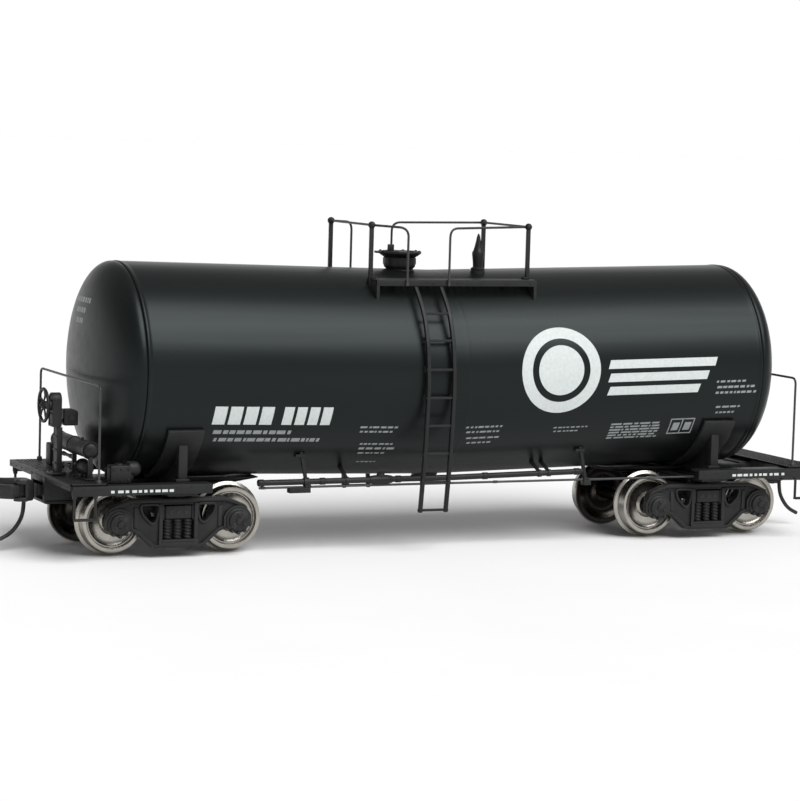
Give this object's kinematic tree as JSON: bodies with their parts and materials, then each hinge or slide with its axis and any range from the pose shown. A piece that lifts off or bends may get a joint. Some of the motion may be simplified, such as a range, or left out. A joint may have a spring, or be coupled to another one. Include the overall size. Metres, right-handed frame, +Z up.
{
  "type": "model tank wagon",
  "caption": "Scale model railway tank wagon: sagging cylindrical tank with top railing and side ladders on swivelling trucks with knuckle couplers.",
  "frame": {"origin": "middle of the wagon's length and width, at the lowest point of the wheel flanges", "axes": "+X along the wagon towards the plain end (the hand brake is at -X), +Z up, the front side faces -Y"},
  "size_m": [0.1532, 0.0378, 0.0552],
  "materials": {
    "tank_paint": "satin black paint on moulded plastic",
    "detail_black": "dull black moulded plastic",
    "truck_black": "dull black engineering plastic",
    "wire_black": "thin wire with black finish",
    "wheel_metal": "turned and plated metal",
    "coupler_metal": "chemically blackened casting",
    "spring_bronze": "plain spring bronze",
    "screw_steel": "plain steel screw",
    "ballast_steel": "plain steel bar"
  },
  "bodies": {
    "wagon_body": {"tank_barrel": "tank_paint", "tank_head_b": "tank_paint", "tank_head_a": "tank_paint", "ballast_weight": "ballast_steel", "manway_neck": "detail_black", "manway_cover": "detail_black", "relief_valve": "detail_black", "top_platform_front": "detail_black", "top_platform_rear": "detail_black", "top_railing_b": "wire_black", "top_railing_a": "wire_black", "ladder_front": "detail_black", "ladder_rear": "detail_black", "saddle_b": "detail_black", "saddle_a": "detail_black", "stub_sill_b": "detail_black", "stub_sill_a": "detail_black", "side_sill_b_front": "detail_black", "side_sill_b_rear": "detail_black", "side_sill_a_front": "detail_black", "side_sill_a_rear": "detail_black", "end_platform_b": "detail_black", "end_platform_a": "detail_black", "end_handrail_b": "wire_black", "end_handrail_a": "wire_black", "bottom_outlet": "tank_paint", "brake_pipe": "detail_black", "brake_rod": "wire_black", "pipe_hanger_b": "detail_black", "pipe_hanger_a": "detail_black", "brake_stand": "detail_black", "gear_housing": "detail_black", "air_reservoir": "detail_black", "brake_cylinder": "detail_black", "control_valve": "detail_black", "coupler_box_lid_b": "detail_black", "coupler_box_lid_a": "detail_black", "centring_spring_b": "spring_bronze", "centring_spring_a": "spring_bronze", "kingpin_b": "screw_steel", "kingpin_a": "screw_steel"},
    "hand_brake_wheel": {"brake_wheel": "detail_black"},
    "coupler_brake_end": {"coupler_b": "coupler_metal", "trip_pin_b": "coupler_metal"},
    "knuckle_brake_end": {"knuckle_b": "coupler_metal"},
    "truck_brake_end": {"truck_bolster_b": "truck_black", "side_frame_b_front": "truck_black", "side_frame_b_rear": "truck_black"},
    "coupler_plain_end": {"coupler_a": "coupler_metal", "trip_pin_a": "coupler_metal"},
    "knuckle_plain_end": {"knuckle_a": "coupler_metal"},
    "truck_plain_end": {"truck_bolster_a": "truck_black", "side_frame_a_front": "truck_black", "side_frame_a_rear": "truck_black"},
    "axle_1": {"wheelset_1": "wheel_metal"},
    "axle_2": {"wheelset_2": "wheel_metal"},
    "axle_3": {"wheelset_3": "wheel_metal"},
    "axle_4": {"wheelset_4": "wheel_metal"}
  },
  "joints": [
    {"name": "truck_swivel_brake_end", "type": "hinge", "parent": "wagon_body", "child": "truck_brake_end", "pos_m": [-0.04955, 0, 0.01034], "axis": [0, 0, 1], "range_deg": [-8, 8]},
    {"name": "coupler_swing_brake_end", "type": "hinge", "parent": "wagon_body", "child": "coupler_brake_end", "pos_m": [-0.0646, 0, 0.01019], "axis": [0, 0, 1], "range_deg": [-10, 10], "stiffness_Nm_per_rad": 0.0001},
    {"name": "knuckle_open_brake_end", "type": "hinge", "parent": "coupler_brake_end", "child": "knuckle_brake_end", "pos_m": [-0.0733, -0.00125, 0.01019], "axis": [0, 0, 1], "range_deg": [0, 30], "stiffness_Nm_per_rad": 0.00002},
    {"name": "truck_swivel_plain_end", "type": "hinge", "parent": "wagon_body", "child": "truck_plain_end", "pos_m": [0.04955, 0, 0.01034], "axis": [0, 0, 1], "range_deg": [-8, 8]},
    {"name": "coupler_swing_plain_end", "type": "hinge", "parent": "wagon_body", "child": "coupler_plain_end", "pos_m": [0.0646, 0, 0.01019], "axis": [0, 0, 1], "range_deg": [-10, 10], "stiffness_Nm_per_rad": 0.0001},
    {"name": "knuckle_open_plain_end", "type": "hinge", "parent": "coupler_plain_end", "child": "knuckle_plain_end", "pos_m": [0.0733, 0.00125, 0.01019], "axis": [0, 0, 1], "range_deg": [0, 30], "stiffness_Nm_per_rad": 0.00002},
    {"name": "axle_spin_1", "type": "hinge", "parent": "truck_brake_end", "child": "axle_1", "pos_m": [-0.05975, 0, 0.00588], "axis": [0, 1, 0], "continuous": true},
    {"name": "axle_spin_2", "type": "hinge", "parent": "truck_brake_end", "child": "axle_2", "pos_m": [-0.03935, 0, 0.00588], "axis": [0, 1, 0], "continuous": true},
    {"name": "axle_spin_3", "type": "hinge", "parent": "truck_plain_end", "child": "axle_3", "pos_m": [0.03935, 0, 0.00588], "axis": [0, 1, 0], "continuous": true},
    {"name": "axle_spin_4", "type": "hinge", "parent": "truck_plain_end", "child": "axle_4", "pos_m": [0.05975, 0, 0.00588], "axis": [0, 1, 0], "continuous": true},
    {"name": "hand_brake_turn", "type": "hinge", "parent": "wagon_body", "child": "hand_brake_wheel", "pos_m": [-0.0701, -0.0043, 0.02449], "axis": [1, 0, 0], "continuous": true}
  ]
}
